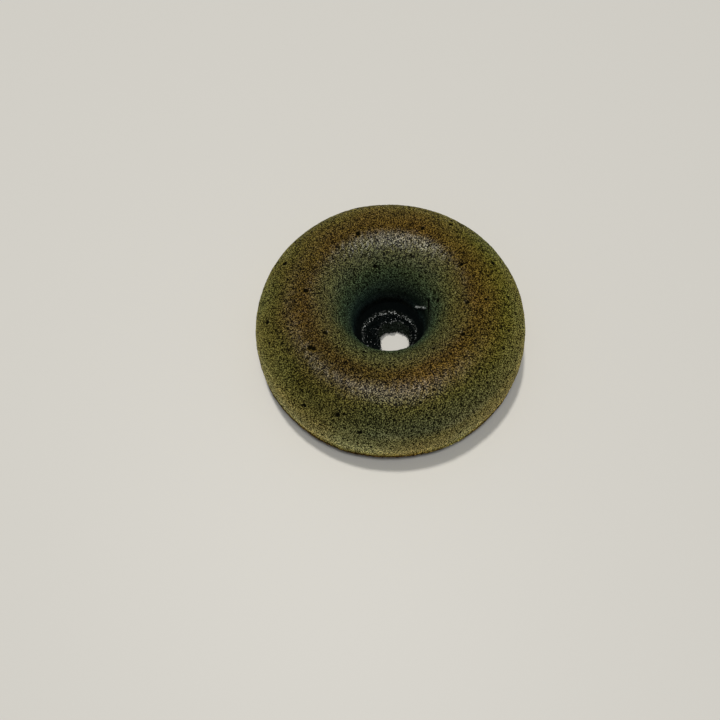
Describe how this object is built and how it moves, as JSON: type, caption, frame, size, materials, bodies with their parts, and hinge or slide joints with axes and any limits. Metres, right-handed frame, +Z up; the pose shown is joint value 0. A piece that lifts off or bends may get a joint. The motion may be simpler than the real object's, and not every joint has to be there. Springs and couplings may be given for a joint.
{
  "type": "ring doughnut",
  "caption": "Mould-baked cake ring with a rounded top, a funnel-shaped centre hole, a torn crumb ledge at its bottom and a domed base that rests on a flat ring.",
  "frame": {"origin": "centre of the doughnut's outline at the level of the flat ring it rests on", "axes": "+Z up along the axis of the hole, from the resting ring towards the moulded crown; -Y towards the side seen nearest; +X to the right of that view, where the torn opening lies nearer the wall"},
  "size_m": [0.0838, 0.0842, 0.0256],
  "materials": {
    "cake": "matte"
  },
  "bodies": {
    "root": {"doughnut": "cake"}
  },
  "joints": []
}
